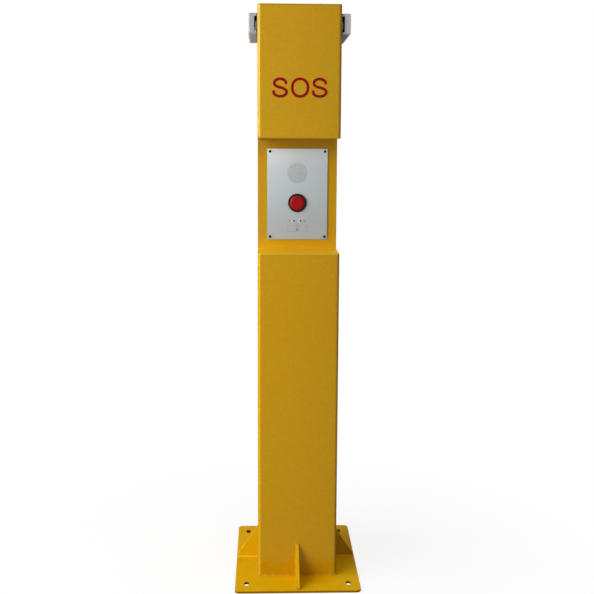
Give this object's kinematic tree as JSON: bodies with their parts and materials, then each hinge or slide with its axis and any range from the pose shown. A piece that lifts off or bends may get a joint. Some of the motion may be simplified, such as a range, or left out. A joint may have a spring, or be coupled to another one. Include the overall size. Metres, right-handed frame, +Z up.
{
  "type": "emergency call column",
  "caption": "Free-standing steel emergency call column on an anchor plate, with a set-back intercom panel, red call button and side lamps on the head.",
  "frame": {"origin": "centre of the underside of the anchor plate", "axes": "+Z up the column, -Y out of the front with the call button, +X to the right for someone facing the front"},
  "size_m": [0.392, 0.528, 1.78],
  "materials": {
    "yellow_paint": "semi-gloss",
    "brushed_panel": "brushed",
    "lamp_aluminium": "satin",
    "lamp_diffuser": "milky",
    "black_screw": "black oxide",
    "zinc_steel": "zinc plated",
    "black_rubber": "matt",
    "black_plastic": "satin",
    "red_plastic": "semi-gloss",
    "grey_plastic": "matt",
    "magnet_steel": "matt",
    "polished_bezel": "polished",
    "red_lens": "gloss",
    "green_lens": "gloss",
    "capsule_aluminium": "plain",
    "board_green": "solder mask",
    "black_component": "matt",
    "terminal_green": "matt",
    "brass": "plain"
  },
  "bodies": {
    "column": {"base_plate": "yellow_paint", "column_shell": "yellow_paint", "recess_insert": "yellow_paint", "top_cap": "yellow_paint", "gusset_right": "yellow_paint", "gusset_left": "yellow_paint", "gusset_rear": "yellow_paint", "gusset_front": "yellow_paint", "rear_cover": "yellow_paint", "intercom_panel": "brushed_panel", "lamp_profile_right": "lamp_aluminium", "lamp_profile_left": "lamp_aluminium", "lamp_end_caps": "lamp_aluminium", "lamp_lens_right": "lamp_diffuser", "lamp_lens_left": "lamp_diffuser", "panel_screws": "black_screw", "rear_cover_screws": "zinc_steel", "rear_cover_nuts": "zinc_steel", "panel_nuts": "zinc_steel", "speaker_fixings": "zinc_steel", "board_screws": "zinc_steel", "lamp_bolts": "zinc_steel", "lamp_slot_nuts": "zinc_steel", "gear_plate": "zinc_steel", "gear_plate_studs": "zinc_steel", "mounting_rails": "zinc_steel", "button_spring": "zinc_steel", "panel_back_box": "zinc_steel", "speaker_frame": "zinc_steel", "rear_cover_gasket": "black_rubber", "panel_gasket": "black_rubber", "speaker_gasket": "black_rubber", "microphone_boot": "black_rubber", "lamp_grommets": "black_rubber", "button_bezel": "black_plastic", "button_nut": "black_plastic", "contact_holder": "black_plastic", "cable_gland": "black_plastic", "contact_block": "grey_plastic", "power_supply": "grey_plastic", "call_controller": "grey_plastic", "surge_arrester": "grey_plastic", "terminal_strip": "grey_plastic", "speaker_cone": "grey_plastic", "speaker_magnet": "magnet_steel", "indicator_bezels": "polished_bezel", "indicator_lens_red": "red_lens", "indicator_lens_green": "green_lens", "microphone": "capsule_aluminium", "circuit_board": "board_green", "lamp_board_right": "board_green", "lamp_board_left": "board_green", "board_components": "black_component", "board_terminals": "terminal_green", "earth_stud": "brass", "board_standoffs": "brass"},
    "button": {"button_cap": "red_plastic", "button_clip": "zinc_steel"}
  },
  "joints": [
    {"name": "button_press", "type": "slide", "parent": "column", "child": "button", "axis": [0, 1, 0], "range_m": [0, 0.004], "stiffness_N_per_m": 600, "springref_m": -0.003, "deforming": ["button_spring"]}
  ]
}
